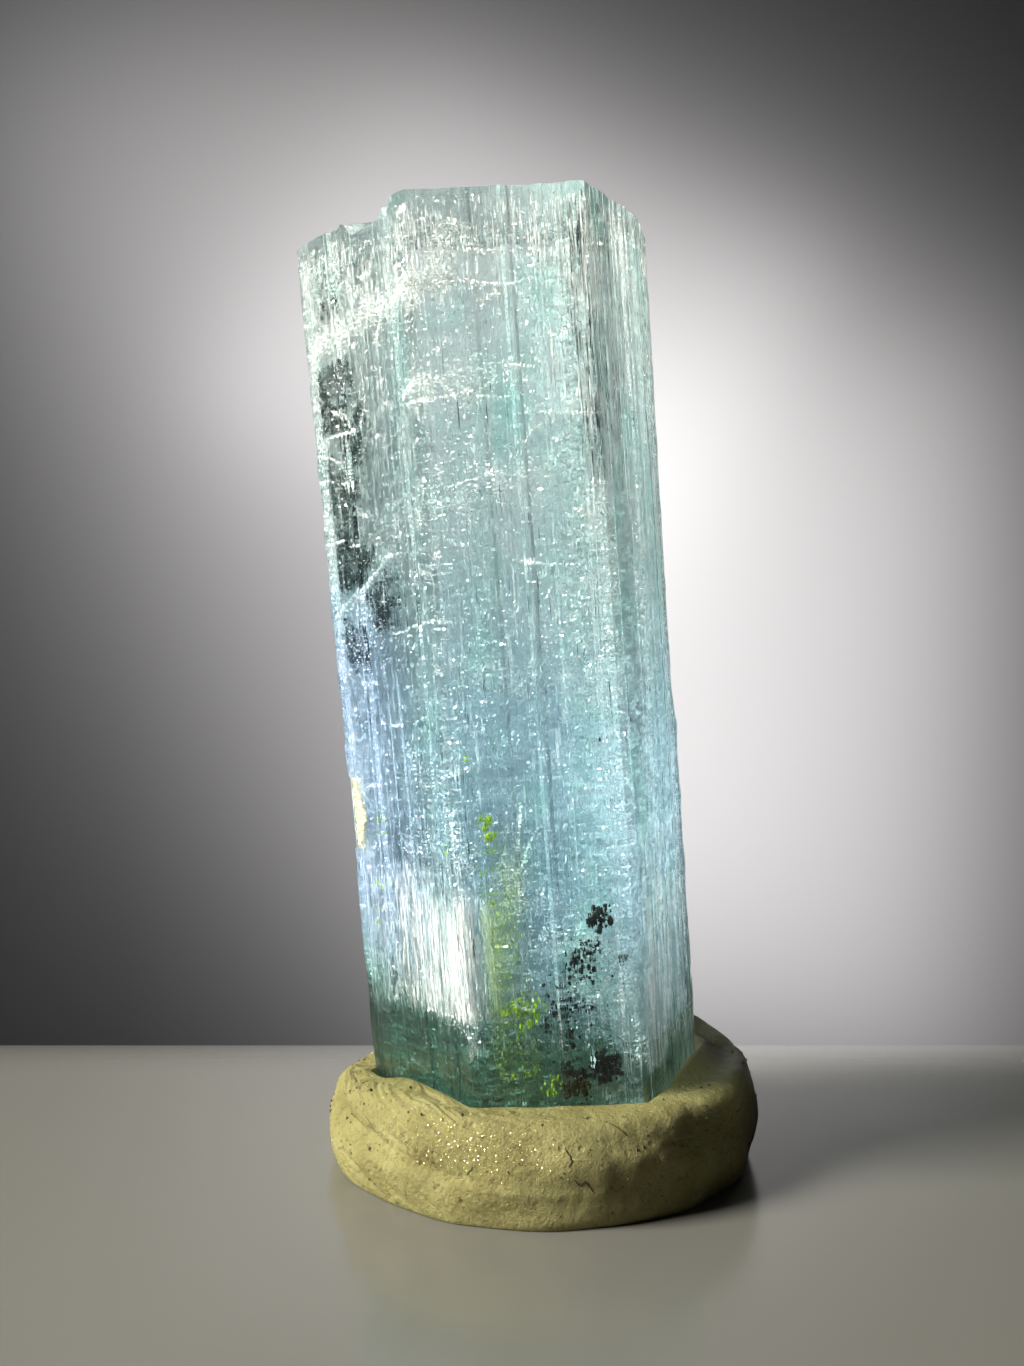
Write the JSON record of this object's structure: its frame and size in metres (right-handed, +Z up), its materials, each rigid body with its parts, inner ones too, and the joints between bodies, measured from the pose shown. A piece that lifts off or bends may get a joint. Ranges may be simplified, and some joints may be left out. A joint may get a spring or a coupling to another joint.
{
  "type": "aquamarine crystal",
  "caption": "Six-sided aquamarine prism with a flat striated tip, leaning a little in the ring of display putty that holds its foot.",
  "frame": {"origin": "on the surface that the putty stands on, under the middle of the bounding box", "axes": "+Z up along the crystal's length, +Y away from the picture's camera, +X to the picture's right"},
  "size_m": [0.0186, 0.0184, 0.0377],
  "materials": {
    "aquamarine": "natural crystal, striated sides, frosted with inclusions",
    "putty": "kneaded putty, satin, with fine glitter and dust"
  },
  "bodies": {
    "root": {"crystal": "aquamarine", "putty_ring": "putty"}
  },
  "joints": []
}
